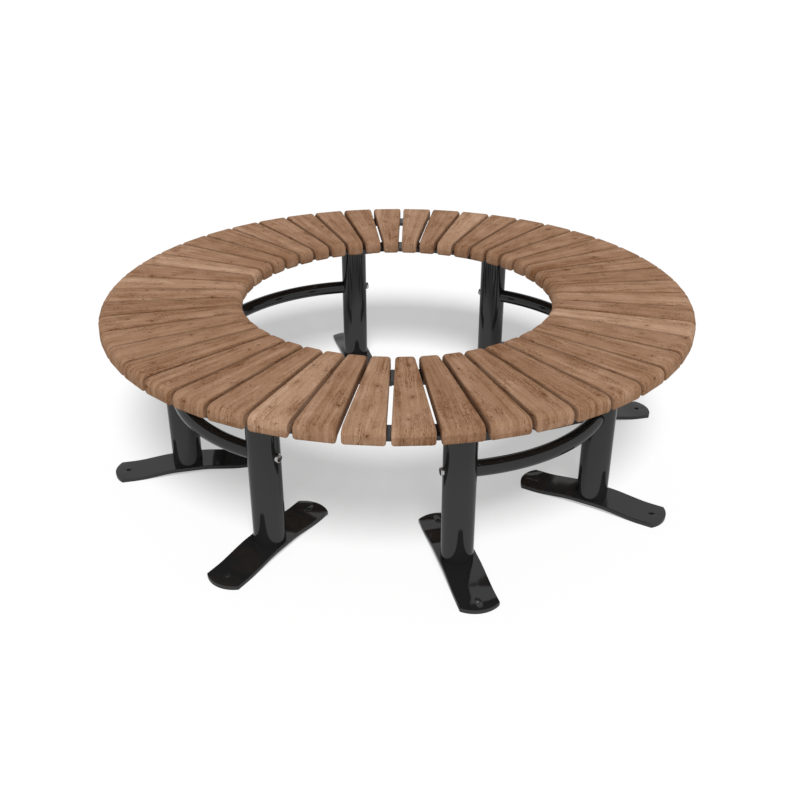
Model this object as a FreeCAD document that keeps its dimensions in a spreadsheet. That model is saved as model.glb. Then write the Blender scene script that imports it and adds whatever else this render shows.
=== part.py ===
import FreeCAD, Part
import math
import os
import Sketcher

# A round bench that stands round a tree: 48 wedge slats on two ring rails, carried by eight
# posts on foot plates. The bench is made in four quarters, so that it can close round a trunk.
# Millimetres, +Z up, origin on the ground on the axis of the ring. The quarters meet on the
# X and Y axes, and every piece is drawn on its own radial line and turned into place.

QUARTER_COUNT = 4
POST_COUNT = 8
SLAT_COUNT = 48
SET_SLAT_COUNT = 3

# The rounded slat ends and the bent braces repeat, so each is drawn with a few straight steps.
END_STEP_COUNT = 3
BEND_STEP_COUNT = 6

# An edge counts as lying at a place when its middle is this near to it.
EDGE_MATCH = 0.01

SIZES = [
    ("seat_outer_radius", 748, "flat outer end of a slat"),
    ("seat_inner_radius", 400, "flat inner end of a slat, the hole for the tree"),
    ("seat_height", 450, "top of the slats"),
    ("slat_thickness", 38, "full thickness of a slat"),
    ("slat_gap", 10, "parallel gap between two slats"),
    ("slat_end_rounding", 16, "radius on the top edge at both ends of a slat"),
    ("housing_depth", 10, "how far a slat is let down over the rails"),
    ("housing_clearance", 1, "room beside a rail in its housing"),
    ("rail_thickness", 10, "flat bar of both rails"),
    ("inner_rail_radius", 420, "inner edge of the inner rail"),
    ("inner_rail_width", 60, "width of the inner rail"),
    ("outer_rail_radius", 674, "inner edge of the outer rail"),
    ("outer_rail_width", 50, "width of the outer rail"),
    ("inner_rail_setback", 1, "end of an inner rail from the line where quarters meet"),
    ("outer_rail_setback", 15, "end of an outer rail from the line where quarters meet"),
    ("splice_length", 120, "plate under the joint of two inner rails"),
    ("splice_thickness", 6, "plate under the joint of two inner rails"),
    ("splice_margin", 12, "rail that shows on each side of a splice plate"),
    ("arm_width", 60, "flat bar of a support arm"),
    ("arm_setback", 14, "inner rail that shows past the end of a support arm"),
    ("arm_thickness", 10, "flat bar of a support arm"),
    ("post_circle_radius", 575, "axis of the posts"),
    ("post_diameter", 76.1, "outside of the post tube"),
    ("post_wall", 3.2, "wall of the post tube"),
    ("foot_width", 90, "flat bar of a foot plate"),
    ("foot_thickness", 10, "flat bar of a foot plate"),
    ("foot_corner_length", 344, "between the corners at the two ends of a foot plate"),
    ("foot_end_radius", 68, "curved end of a foot plate"),
    ("foot_rise", 10, "how far the foot plate is cranked up under the post"),
    ("foot_flat_length", 90, "raised flat under the post"),
    ("foot_slope_length", 80, "run of each cranked stretch"),
    ("foot_bend_radius", 300, "inside of the four bends in a foot plate"),
    ("anchor_hole_diameter", 12, "hole for a ground anchor"),
    ("anchor_hole_offset", 155, "anchor hole from the axis of its post"),
    ("brace_diameter", 38, "outside of the brace tube"),
    ("brace_bend_radius", 440, "centre line of the bent brace"),
    ("brace_height", 248, "centre line of the brace above the ground"),
    ("brace_cope_gap", 0.2, "room between the coped end of a brace and its post"),
    ("screw_head_diameter", 22, "button head of a brace screw"),
    ("screw_head_height", 6.6, "button head of a brace screw"),
    ("screw_seat_gap", 0.1, "room between a screw head and the crown of its post"),
]

DERIVED = [
    ("slat_pitch", "=360 / {}".format(SLAT_COUNT)),
    ("slat_bottom", "=seat_height - slat_thickness"),
    ("rail_top", "=slat_bottom + housing_depth"),
    ("rail_bottom", "=rail_top - rail_thickness"),
    ("arm_bottom", "=rail_bottom - arm_thickness"),
    ("foot_top", "=foot_rise + foot_thickness"),
    ("post_half_angle", "=180 / {}".format(POST_COUNT)),
    ("post_reach", "=post_circle_radius * cos(post_half_angle)"),
    ("post_half_spread", "=post_circle_radius * sin(post_half_angle)"),
    ("brace_half_angle", "=asin(post_half_spread / brace_bend_radius) / 1deg"),
    ("brace_centre", "=post_reach - brace_bend_radius * cos(brace_half_angle)"),
    ("foot_bend_shift", "=foot_thickness * tan(atan(foot_rise / foot_slope_length) / 2)"),
]

doc = FreeCAD.newDocument("tree_bench")
sizes = doc.addObject("Spreadsheet::Sheet", "sizes")


def fill_sheet():
    """Writes the driving sizes and what follows from them, each under its own alias."""
    row = 1
    for name, value, meaning in SIZES:
        sizes.set("A{}".format(row), name)
        sizes.set("B{}".format(row), str(value))
        sizes.set("C{}".format(row), meaning)
        sizes.setAlias("B{}".format(row), name)
        row += 1
    for name, formula in DERIVED:
        sizes.set("A{}".format(row), name)
        sizes.set("B{}".format(row), formula)
        sizes.setAlias("B{}".format(row), name)
        row += 1
    doc.recompute()


def value_of(expression):
    """The number that an expression in the sheet's names has now."""
    result = sizes.evalExpression(expression)
    return float(getattr(result, "Value", result))


def origin_feature(body, role):
    """A body's own plane or axis, such as XY_Plane or Z_Axis."""
    return next(item for item in body.Origin.OriginFeatures if item.Role == role)


def new_body(label, angle):
    """A body drawn on the X axis and turned about the axis of the ring by an expression."""
    body = doc.addObject("PartDesign::Body", label)
    body.Label = label
    body.AllowCompound = True
    body.Placement.Rotation.Axis = FreeCAD.Vector(0, 0, 1)
    body.setExpression("Placement.Rotation.Angle", angle)
    return body


def new_sketch(body, name, plane, offset="0"):
    """A sketch on one of the body's own planes, lifted off it by an expression."""
    sketch = body.newObject("Sketcher::SketchObject", name)
    sketch.AttachmentSupport = [(origin_feature(body, plane), "")]
    sketch.MapMode = "FlatFace"
    sketch.setExpression("AttachmentOffset.Base.z", offset)
    return sketch


def bind(sketch, constraint, name, expression):
    """Adds a dimension to a sketch and ties it to an expression."""
    index = sketch.addConstraint(constraint)
    sketch.renameConstraint(index, name)
    sketch.setExpression("Constraints." + name, expression)


def place_point(sketch, name, curve, end, x, y):
    """Fixes a sketch point at a place given by two expressions."""
    if x == "0":
        sketch.addConstraint(Sketcher.Constraint("PointOnObject", curve, end, -2))
    else:
        across = Sketcher.Constraint("DistanceX", -1, 1, curve, end, value_of(x))
        bind(sketch, across, name + "_x", x)
    if y == "0":
        sketch.addConstraint(Sketcher.Constraint("PointOnObject", curve, end, -1))
    else:
        along = Sketcher.Constraint("DistanceY", -1, 1, curve, end, value_of(y))
        bind(sketch, along, name + "_y", y)


def draw_polygon(sketch, name, corners):
    """A closed outline of straight lines, its corners given as pairs of expressions."""
    points = [FreeCAD.Vector(value_of(x), value_of(y), 0) for x, y in corners]
    lines = []
    for number, start in enumerate(points):
        finish = points[(number + 1) % len(points)]
        lines.append(sketch.addGeometry(Part.LineSegment(start, finish)))
    for number, line in enumerate(lines):
        following = lines[(number + 1) % len(lines)]
        sketch.addConstraint(Sketcher.Constraint("Coincident", line, 2, following, 1))
    for number, (x, y) in enumerate(corners):
        place_point(sketch, "{}_{}".format(name, number + 1), lines[number], 1, x, y)


def draw_chain(sketch, name, corners):
    """An open run of straight lines, its points given as pairs of expressions."""
    points = [FreeCAD.Vector(value_of(x), value_of(y), 0) for x, y in corners]
    lines = [sketch.addGeometry(Part.LineSegment(*pair)) for pair in zip(points, points[1:])]
    for line, following in zip(lines, lines[1:]):
        sketch.addConstraint(Sketcher.Constraint("Coincident", line, 2, following, 1))
    for number, (line, (x, y)) in enumerate(zip(lines, corners)):
        place_point(sketch, "{}_{}".format(name, number + 1), line, 1, x, y)
    place_point(sketch, name + "_end", lines[-1], 2, *corners[-1])


def draw_outline(sketch, name, corners):
    """A closed outline that runs anticlockwise.

    Each corner is two expressions and the radius of the arc from there to the next corner, or None
    where that side is straight. An arc stands out from its side.
    """
    points = [FreeCAD.Vector(value_of(x), value_of(y), 0) for x, y, radius in corners]
    sides = []
    for number, start in enumerate(points):
        finish = points[(number + 1) % len(points)]
        radius = corners[number][2]
        if radius is None:
            sides.append(sketch.addGeometry(Part.LineSegment(start, finish)))
        else:
            sides.append(sketch.addGeometry(arc_between(start, finish, value_of(radius))))
    for number, side in enumerate(sides):
        following = sides[(number + 1) % len(sides)]
        sketch.addConstraint(Sketcher.Constraint("Coincident", side, 2, following, 1))
    for number, (x, y, radius) in enumerate(corners):
        place_point(sketch, "{}_{}".format(name, number + 1), sides[number], 1, x, y)
        if radius is not None:
            arc = Sketcher.Constraint("Radius", sides[number], value_of(radius))
            bind(sketch, arc, "{}_{}_arc".format(name, number + 1), radius)


def arc_between(start, finish, radius):
    """The arc of a radius that runs anticlockwise from start to finish, the short way."""
    chord = finish - start
    middle = (start + finish) * 0.5
    across = FreeCAD.Vector(-chord.y, chord.x, 0).normalize()
    centre = middle + across * math.sqrt(radius ** 2 - (chord.Length / 2) ** 2)
    circle = Part.Circle(centre, FreeCAD.Vector(0, 0, 1), radius)
    first = math.atan2(start.y - centre.y, start.x - centre.x)
    last = math.atan2(finish.y - centre.y, finish.x - centre.x)
    return Part.ArcOfCircle(circle, first, last if last > first else last + 2 * math.pi)


def draw_rectangle(sketch, name, left, right, low, high):
    """A rectangle from four expressions."""
    draw_polygon(sketch, name, [(left, low), (right, low), (right, high), (left, high)])


def draw_circle(sketch, name, x, y, radius):
    """A circle whose centre and radius are expressions."""
    centre = FreeCAD.Vector(value_of(x), value_of(y), 0)
    circle = Part.Circle(centre, FreeCAD.Vector(0, 0, 1), value_of(radius))
    curve = sketch.addGeometry(circle)
    place_point(sketch, name, curve, 3, x, y)
    bind(sketch, Sketcher.Constraint("Radius", curve, value_of(radius)), name + "_radius", radius)


def pad(body, sketch, name, length, both_ways=False):
    """Pads a sketch by an expression."""
    feature = body.newObject("PartDesign::Pad", name)
    feature.Profile = sketch
    feature.setExpression("Length", length)
    if both_ways:
        feature.SideType = "Symmetric"
    doc.recompute()
    return feature


def cut_through(body, sketch, name, length):
    """Cuts a sketch out of the body, half of the length each way, and checks that it cut."""
    before = body.Shape.Volume
    feature = body.newObject("PartDesign::Pocket", name)
    feature.Profile = sketch
    feature.setExpression("Length", length)
    feature.SideType = "Symmetric"
    doc.recompute()
    if feature.Shape.isNull() or feature.Shape.Volume > before - 1:
        raise RuntimeError(name + " cuts nothing")
    return feature


def revolve(body, sketch, name, angle, axis):
    """Turns a profile about an axis by an expression, half of the angle each way."""
    feature = body.newObject("PartDesign::Revolution", name)
    feature.Profile = sketch
    feature.ReferenceAxis = axis
    feature.Midplane = True
    feature.setExpression("Angle", angle)
    doc.recompute()
    return feature


def edge_names(shape, wanted):
    """The names of the edges for which wanted(middle of the edge) is true."""
    names = []
    for number, edge in enumerate(shape.Edges):
        if wanted(edge.CenterOfMass):
            names.append("Edge{}".format(number + 1))
    return names


def fillet(body, name, radius, wanted):
    """Rounds the edges of the body whose middles are wanted."""
    base = body.Tip
    feature = body.newObject("PartDesign::Fillet", name)
    feature.Base = (base, edge_names(base.Shape, wanted))
    feature.setExpression("Radius", radius)
    doc.recompute()
    return feature


def ring_pattern(body, name, count, spacing):
    """Repeats the whole body about the axis of the ring."""
    feature = body.newObject("PartDesign::PolarPattern", name)
    feature.TransformMode = "Whole shape"
    feature.Axis = (origin_feature(body, "Z_Axis"), [""])
    feature.Mode = "Spacing"
    feature.setExpression("Offset", spacing)
    feature.Occurrences = count
    body.Tip = feature
    doc.recompute()
    return feature


def slat_corner(radius):
    """Half the width of a slat at a radius: its sides stay parallel to the gaps beside it."""
    return "({0} * tan(sizes.slat_pitch / 2) - sizes.slat_gap / 2 / cos(sizes.slat_pitch / 2))".format(radius)


def rounded_end(end, inwards):
    """The corner that is cut off a slat's end, seen from the side; inwards is the sign into the slat."""
    radius = "sizes.slat_end_rounding"
    corners = [(end, "sizes.seat_height")]
    for step in range(END_STEP_COUNT + 1):
        angle = "{}deg".format(90 * step / END_STEP_COUNT)
        across = "{0} {1} {2} * (1 - sin({3}))".format(end, inwards, radius, angle)
        corners.append((across, "sizes.seat_height - {0} * (1 - cos({1}))".format(radius, angle)))
    return corners


def make_slat_set(number):
    """Three neighbouring slats, each a wedge housed over both rails with rounded ends."""
    first = "sizes.slat_pitch * ({} + 0.5)".format(SET_SLAT_COUNT * number)
    body = new_body("slats_{:02d}".format(number + 1), first)
    inner = "sizes.seat_inner_radius"
    outer = "sizes.seat_outer_radius"
    plan = new_sketch(body, "plan", "XY_Plane", "sizes.slat_bottom")
    draw_polygon(plan, "corner", [
        (inner, "-" + slat_corner(inner)),
        (outer, "-" + slat_corner(outer)),
        (outer, slat_corner(outer)),
        (inner, slat_corner(inner)),
    ])
    pad(body, plan, "wedge", "sizes.slat_thickness")
    ends = new_sketch(body, "ends", "XZ_Plane")
    draw_polygon(ends, "outer_end", rounded_end(outer, "-"))
    draw_polygon(ends, "inner_end", rounded_end(inner, "+"))
    cut_through(body, ends, "end_rounding", "sizes.seat_outer_radius")
    housings = new_sketch(body, "housings", "XZ_Plane")
    for name in ("inner_rail", "outer_rail"):
        edge = "sizes.{}_radius".format(name)
        near = "{} * cos(sizes.slat_pitch / 2) - sizes.housing_clearance".format(edge)
        far = "{} + sizes.{}_width + sizes.housing_clearance".format(edge, name)
        draw_rectangle(housings, name, near, far, "sizes.slat_bottom", "sizes.rail_top")
    cut_through(body, housings, "housing_cut", "sizes.seat_outer_radius")
    ring_pattern(body, "three_slats", SET_SLAT_COUNT, "sizes.slat_pitch")
    return body


def make_rails(kind):
    """The four quarters of one ring rail, flat bars laid flat."""
    body = new_body("{}_rails".format(kind), "180 / {}".format(QUARTER_COUNT))
    edge = "sizes.{}_rail_radius".format(kind)
    section = new_sketch(body, "section", "XZ_Plane")
    draw_rectangle(section, "bar", edge, "{} + sizes.{}_rail_width".format(edge, kind),
                   "sizes.rail_bottom", "sizes.rail_top")
    sweep = "360deg / {0} - 2 * asin(sizes.{1}_rail_setback / {2})".format(QUARTER_COUNT, kind, edge)
    revolve(body, section, "ring_sector", sweep, (origin_feature(body, "Z_Axis"), [""]))
    ring_pattern(body, "four_quarters", QUARTER_COUNT, "360 / {}".format(QUARTER_COUNT))
    return body


def make_splice_plate(number):
    """A plate under the joint of two inner rails."""
    body = new_body("splice_plate_{}".format(number + 1), "360 / {} * {}".format(QUARTER_COUNT, number))
    plan = new_sketch(body, "plan", "XY_Plane", "sizes.rail_bottom - sizes.splice_thickness")
    near = "sizes.inner_rail_radius + sizes.splice_margin"
    far = "sizes.inner_rail_radius + sizes.inner_rail_width - sizes.splice_margin"
    draw_rectangle(plan, "plate", near, far, "-sizes.splice_length / 2", "sizes.splice_length / 2")
    pad(body, plan, "plate", "sizes.splice_thickness")
    return body


def post_angle(number):
    """Where a post and what it carries stand, half a step from the line where quarters meet."""
    return "360 / {} * ({} + 0.5)".format(POST_COUNT, number)


def make_support_arm(number):
    """A flat bar on a post's top, which carries both rails."""
    body = new_body("support_arm_{}".format(number + 1), post_angle(number))
    plan = new_sketch(body, "plan", "XY_Plane", "sizes.arm_bottom")
    near = "sizes.inner_rail_radius + sizes.arm_setback"
    far = "sizes.outer_rail_radius + sizes.outer_rail_width"
    draw_rectangle(plan, "bar", near, far, "-sizes.arm_width / 2", "sizes.arm_width / 2")
    pad(body, plan, "bar", "sizes.arm_thickness")
    return body


def make_posts():
    """Eight round tubes between the foot plates and the support arms."""
    body = new_body("posts", post_angle(0))
    section = new_sketch(body, "section", "XY_Plane", "sizes.foot_top")
    draw_circle(section, "outside", "sizes.post_circle_radius", "0", "sizes.post_diameter / 2")
    draw_circle(section, "bore", "sizes.post_circle_radius", "0", "sizes.post_diameter / 2 - sizes.post_wall")
    pad(body, section, "tube", "sizes.arm_bottom - sizes.foot_top")
    ring_pattern(body, "eight_posts", POST_COUNT, "360 / {}".format(POST_COUNT))
    return body


def make_foot_plates():
    """Flat bars with curved ends, cranked so that the middle under the post stands off the ground."""
    body = new_body("foot_plates", post_angle(0))
    centre = "sizes.post_circle_radius"
    corner = "sizes.foot_corner_length / 2"
    side = "sizes.foot_width / 2"
    plan = new_sketch(body, "plan", "XY_Plane")
    draw_outline(plan, "bar", [
        ("{} + {}".format(centre, corner), "-" + side, "sizes.foot_end_radius"),
        ("{} + {}".format(centre, corner), side, None),
        ("{} - {}".format(centre, corner), side, "sizes.foot_end_radius"),
        ("{} - {}".format(centre, corner), "-" + side, None),
    ])
    pad(body, plan, "bar", "sizes.foot_top")
    crank = new_sketch(body, "crank", "XZ_Plane")
    raised = "sizes.foot_flat_length / 2"
    landed = "({} + sizes.foot_slope_length)".format(raised)
    draw_polygon(crank, "under", [
        ("{} - {}".format(centre, landed), "0"),
        ("{} + {}".format(centre, landed), "0"),
        ("{} + {}".format(centre, raised), "sizes.foot_rise"),
        ("{} - {}".format(centre, raised), "sizes.foot_rise"),
    ])
    for name, sign in (("outer", "+"), ("inner", "-")):
        end = "{} {} sizes.foot_corner_length".format(centre, sign)
        draw_polygon(crank, name, [
            ("{0} {1} {2} {1} sizes.foot_bend_shift".format(centre, sign, landed), "sizes.foot_thickness"),
            (end, "sizes.foot_thickness"),
            (end, "sizes.foot_top"),
            ("{0} {1} {2} {1} sizes.foot_bend_shift".format(centre, sign, raised), "sizes.foot_top"),
        ])
    cut_through(body, crank, "crank_cut", "2 * sizes.foot_width")
    middle = value_of(centre)
    top = value_of("sizes.foot_top")
    rise = value_of("sizes.foot_rise")
    shift = value_of("sizes.foot_bend_shift")
    flat = value_of(raised)
    slope = value_of(landed)

    def bends(places):
        """A test that is true for an edge across the bar at one of the distances and heights."""
        return lambda point: any(
            abs(abs(point.x - middle) - reach) < EDGE_MATCH and abs(point.z - level) < EDGE_MATCH
            for reach, level in places)

    inside = [(flat, rise), (slope + shift, value_of("sizes.foot_thickness"))]
    outside = [(flat + shift, top), (slope, 0)]
    fillet(body, "inside_bends", "sizes.foot_bend_radius", bends(inside))
    fillet(body, "outside_bends", "sizes.foot_bend_radius + sizes.foot_thickness", bends(outside))
    holes = new_sketch(body, "holes", "XY_Plane")
    for name, sign in (("outer", "+"), ("inner", "-")):
        draw_circle(holes, name, "{} {} sizes.anchor_hole_offset".format(centre, sign), "0",
                    "sizes.anchor_hole_diameter / 2")
    cut_through(body, holes, "anchor_holes", "3 * sizes.foot_thickness")
    ring_pattern(body, "eight_plates", POST_COUNT, "360 / {}".format(POST_COUNT))
    return body


def make_brace_tube(number):
    """A tube bent to an arc between the two posts of a quarter, its ends coped round them."""
    body = new_body("brace_tube_{}".format(number + 1), "360 / {} * ({} + 0.5)".format(QUARTER_COUNT, number))
    path = new_sketch(body, "path", "XY_Plane", "sizes.brace_height")
    points = []
    for step in range(BEND_STEP_COUNT + 1):
        angle = "(sizes.brace_half_angle * {})".format(2 * step / BEND_STEP_COUNT - 1)
        x = "sizes.brace_centre + sizes.brace_bend_radius * cos({})".format(angle)
        points.append((x, "sizes.brace_bend_radius * sin({})".format(angle)))
    draw_chain(path, "bend", points)
    section = body.newObject("Sketcher::SketchObject", "section")
    section.AttachmentSupport = [(path, "Edge1")]
    section.MapMode = "NormalToEdge"
    draw_circle(section, "tube", "0", "0", "sizes.brace_diameter / 2")
    pipe = body.newObject("PartDesign::AdditivePipe", "tube")
    pipe.Profile = section
    pipe.Spine = (path, ["Edge{}".format(step + 1) for step in range(BEND_STEP_COUNT)])
    pipe.Transition = "Right corner"
    doc.recompute()
    copes = new_sketch(body, "copes", "XY_Plane", "sizes.brace_height")
    for side, sign in (("near", "-"), ("far", "")):
        draw_circle(copes, side, "sizes.post_reach", sign + "sizes.post_half_spread",
                    "sizes.post_diameter / 2 + sizes.brace_cope_gap")
    cut_through(body, copes, "cope", "2 * sizes.brace_diameter")
    return body


def make_brace_screws():
    """Button-head screws, one on each post on the side away from its brace."""
    body = new_body("brace_screws", "0")
    profile = new_sketch(body, "profile", "XY_Plane", "sizes.brace_height")
    profile.AttachmentOffset.Rotation.Axis = FreeCAD.Vector(0, 0, 1)
    profile.setExpression("AttachmentOffset.Rotation.Angle", "sizes.post_half_angle")
    centre = "sizes.post_circle_radius"
    seat = "-sizes.post_diameter / 2 - sizes.screw_seat_gap"
    draw_rectangle(profile, "head", centre, "{} + sizes.screw_head_diameter / 2".format(centre),
                   "{} - sizes.screw_head_height".format(seat), seat)
    revolve(body, profile, "head", "360", (profile, ["Edge4"]))
    mirror = body.newObject("PartDesign::Mirrored", "both_posts")
    mirror.TransformMode = "Whole shape"
    mirror.MirrorPlane = (origin_feature(body, "XZ_Plane"), [""])
    body.Tip = mirror
    doc.recompute()
    ring_pattern(body, "four_quarters", QUARTER_COUNT, "360 / {}".format(QUARTER_COUNT))
    return body


def check_document():
    """Stops if any object failed or any piece has no sound shape."""
    for item in doc.Objects:
        if "Invalid" in item.State or "Error" in item.State:
            raise RuntimeError("{} {} failed: {}".format(item.Label, item.Name, item.State))


def export(bodies):
    """Writes each piece to its own file, under its label."""
    os.makedirs("parts", exist_ok=True)
    for body in bodies:
        shape = body.Shape
        if shape.isNull() or not shape.isValid():
            raise RuntimeError(body.Label + " has no sound shape")
        shape.exportStep(os.path.join("parts", body.Label + ".step"))


fill_sheet()
bodies = [make_slat_set(number) for number in range(SLAT_COUNT // SET_SLAT_COUNT)]
bodies += [make_rails("inner"), make_rails("outer")]
bodies += [make_splice_plate(number) for number in range(QUARTER_COUNT)]
bodies += [make_support_arm(number) for number in range(POST_COUNT)]
bodies += [make_posts(), make_foot_plates()]
bodies += [make_brace_tube(number) for number in range(QUARTER_COUNT)]
bodies.append(make_brace_screws())
doc.recompute()
check_document()
export(bodies)
for body in bodies:
    box = body.Shape.BoundBox
    print(body.Label, len(body.Shape.Solids), [round(v, 1) for v in
          (box.XMin, box.YMin, box.ZMin, box.XMax, box.YMax, box.ZMax)], round(body.Shape.Volume))
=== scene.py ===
import math
import random

import bmesh
import bpy
from mathutils import Matrix, Vector


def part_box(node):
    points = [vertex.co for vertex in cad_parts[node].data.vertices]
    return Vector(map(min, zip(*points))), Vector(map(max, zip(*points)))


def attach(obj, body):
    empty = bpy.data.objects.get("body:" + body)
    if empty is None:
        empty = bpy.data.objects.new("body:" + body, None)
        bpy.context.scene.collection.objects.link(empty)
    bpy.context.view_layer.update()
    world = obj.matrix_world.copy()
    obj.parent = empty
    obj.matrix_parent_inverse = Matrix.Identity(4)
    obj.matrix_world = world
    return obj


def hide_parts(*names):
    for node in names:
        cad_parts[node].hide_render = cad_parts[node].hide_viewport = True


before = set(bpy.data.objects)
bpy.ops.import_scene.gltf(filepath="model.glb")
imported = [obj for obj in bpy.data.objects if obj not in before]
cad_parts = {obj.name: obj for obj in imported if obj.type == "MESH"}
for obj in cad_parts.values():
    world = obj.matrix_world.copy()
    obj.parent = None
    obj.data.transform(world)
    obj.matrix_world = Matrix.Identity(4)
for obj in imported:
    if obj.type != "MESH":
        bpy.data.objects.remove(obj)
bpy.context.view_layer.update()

# The looks of a round tree bench: 48 slats of brown hardwood on a frame of black painted steel.
# Sizes are in millimetres and are turned into metres where a mesh is made. Each repeated piece is
# drawn at the X axis or at the origin, and then turned about the axis of the ring to its place.

MM = 0.001
SLATS = 48
POSTS = 8
QUARTERS = 4
SLATS_IN_NODE = 3
SLATS_IN_QUARTER = SLATS // QUARTERS


def node_span(node, angle, spread):
    """How far a node's vertices within spread degrees of a direction reach along it, in mm."""
    along = Vector((math.cos(math.radians(angle)), math.sin(math.radians(angle)), 0))
    found = []
    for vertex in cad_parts[node].data.vertices:
        bearing = math.degrees(math.atan2(vertex.co.y, vertex.co.x))
        if abs((bearing - angle + 180) % 360 - 180) < spread:
            found.append(vertex.co.dot(along) / MM)
    return min(found), max(found)


def ring_span(node):
    """The inner and outer radius of a node about the axis of the ring, in mm."""
    found = [math.hypot(vertex.co.x, vertex.co.y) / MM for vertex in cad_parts[node].data.vertices]
    return min(found), max(found)


def node_heights(node):
    """The lowest and highest z of a node, in mm."""
    low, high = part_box(node)
    return low.z / MM, high.z / MM


PITCH = 360 / SLATS
SEAT_INNER, SEAT_OUTER = node_span("slats_01", PITCH * 1.5, PITCH / 2)
SEAT_LOW, SEAT_HIGH = node_heights("slats_01")
SLAT_GAP = 10

# The roundings of a slat over its ends, and of its long edges as (at the ends, in the middle).
END_ROUND = 16
LOWER_ROUND = 9
CORNER_ROUND = 4.5
EDGE_ROUND = (8, 4)
LOWER_EDGE = (6, 15)
ROUND_STEPS = 8
CORNER_STEPS = 5
SLAT_SEED = 101

RAIL_TOP = node_heights("inner_rails")[1]
INNER_RAIL = ring_span("inner_rails")
OUTER_RAIL = ring_span("outer_rails")
HOUSING_CLEARANCE = 1

POST_LOW, POST_HIGH = node_heights("posts")
POST_SPAN = node_span("posts", 180 / POSTS, 90 / POSTS)
POST_CIRCLE = (POST_SPAN[0] + POST_SPAN[1]) / 2
POST_RADIUS = (POST_SPAN[1] - POST_SPAN[0]) / 2
POST_TURN = math.radians(180 / POSTS)
POST_X = POST_CIRCLE * math.cos(POST_TURN)
POST_Y = POST_CIRCLE * math.sin(POST_TURN)
POST_WALL = 3.2
POST_SIDES = 96

FOOT_HALF_LENGTH = 172
FOOT_HALF_WIDTH = 45
FOOT_THICKNESS = 10
FOOT_END_RADIUS = 68
FOOT_RISE = 10
FOOT_FLAT = 45
FOOT_LANDING = 125
FOOT_BEND_RADIUS = 300
FOOT_EDGE = 0.9
FOOT_EDGE_STEPS = 2
FOOT_END_STEPS = 24
FOOT_BEND_STEPS = 8
ANCHOR_HOLE_RADIUS = 6
ANCHOR_HOLE_OFFSET = 155
ANCHOR_HOLE_SIDES = 48

BRACE_LOW, BRACE_HIGH = node_heights("brace_tube_1")
BRACE_HEIGHT = (BRACE_LOW + BRACE_HIGH) / 2
BRACE_RADIUS = 19
BRACE_BEND = 440
BRACE_STEPS = 64
BRACE_SIDES = 48
COPE_GAP = 0.2

SCREW_HEAD_RADIUS = 11
SCREW_HEAD_HEIGHT = 6.6
SCREW_EDGE_HEIGHT = 0.8
SCREW_RIM = 2.2
SCREW_SOCKET = 15
SCREW_SOCKET_TOP = 0.3
SCREW_SOCKET_FLOOR = 5.2
SCREW_SIDES = 48
SCREW_DOME_STEPS = 7
SCREW_SEAT_GAP = 0.1

# The rounding of the edges of the rails, the support arms and the splice plates.
FRAME_EDGE = 0.8
FRAME_EDGE_STEPS = 2

# Edges that turn by more than these angles stay sharp.
SHARP_ANGLE = 40
SHARP_ANGLE_BENT = 50
SHARP_ANGLE_SCREW = 35
MERGE_DISTANCE = 0.01
PLATE_MERGE_DISTANCE = 0.001

# The paler and darker slats of each quarter, counted from its first slat, as shares of the usual tone.
SLAT_TONES = {0: 1.16, 1: 1.10, 2: 0.95, 8: 0.97, 9: 1.02, 10: 1.29}
TONE_SPREAD = 0.02
GRAIN_SLOPE = 0.03

# Painted light and shade: a paler tone near the top of a side wall, down to this depth,
# and a tone that rises with each mm outwards, so that the inner end is darker.
SIDE_PAINTED_LIGHT = 1.02
SIDE_DEPTH = 16
OUTWARD_PAINTED_LIGHT = 0.00025


def new_piece(name, mesh, material):
    """Puts a mesh in the scene as a piece of the bench."""
    piece = bpy.data.objects.new(name, mesh)
    bpy.context.scene.collection.objects.link(piece)
    mesh.materials.append(material)
    return piece


def sharpen(build, limit_degrees):
    """Smooth shading, apart from the edges that turn by more than a limit."""
    limit = math.radians(limit_degrees)
    for face in build.faces:
        face.smooth = True
    for edge in build.edges:
        edge.smooth = len(edge.link_faces) == 2 and edge.calc_face_angle(0) < limit


def to_mesh(build, name, limit_degrees=SHARP_ANGLE):
    """Turns a bmesh in millimetres into a clean mesh in metres."""
    bmesh.ops.remove_doubles(build, verts=build.verts, dist=MERGE_DISTANCE)
    bmesh.ops.dissolve_degenerate(build, edges=build.edges, dist=MERGE_DISTANCE)
    bmesh.ops.recalc_face_normals(build, faces=build.faces)
    sharpen(build, limit_degrees)
    bmesh.ops.scale(build, vec=(MM, MM, MM), verts=build.verts)
    mesh = bpy.data.meshes.new(name)
    build.to_mesh(mesh)
    build.free()
    return mesh


def smooth_step(low, high, value):
    """0 below low, 1 above high and a smooth rise between them."""
    share = min(1, max(0, (value - low) / (high - low)))
    return share * share * (3 - 2 * share)


def turned(angle):
    """A turn about the axis of the ring, in degrees."""
    return Matrix.Rotation(math.radians(angle), 4, "Z")


def post_place(number):
    """Where the middle of a post's foot lies, with the X axis pointing outwards."""
    return turned(360 / POSTS * (number + 0.5)) @ Matrix.Translation((POST_CIRCLE * MM, 0, 0))


def quarter_place(number):
    """The turn that brings the X axis to the middle of a quarter."""
    return turned(360 / QUARTERS * (number + 0.5))


# Slats


def arc_drop(radius, distance):
    """How far a rounding of a radius falls away at a distance from the end."""
    if distance >= radius:
        return 0
    return radius - math.sqrt(max(0, radius ** 2 - (radius - distance) ** 2))


def slat_half_width(x):
    """Half the width of a slat, whose sides are parallel to the gaps beside it."""
    half = math.radians(PITCH / 2)
    return x * math.tan(half) - SLAT_GAP / 2 / math.cos(half)


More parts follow.
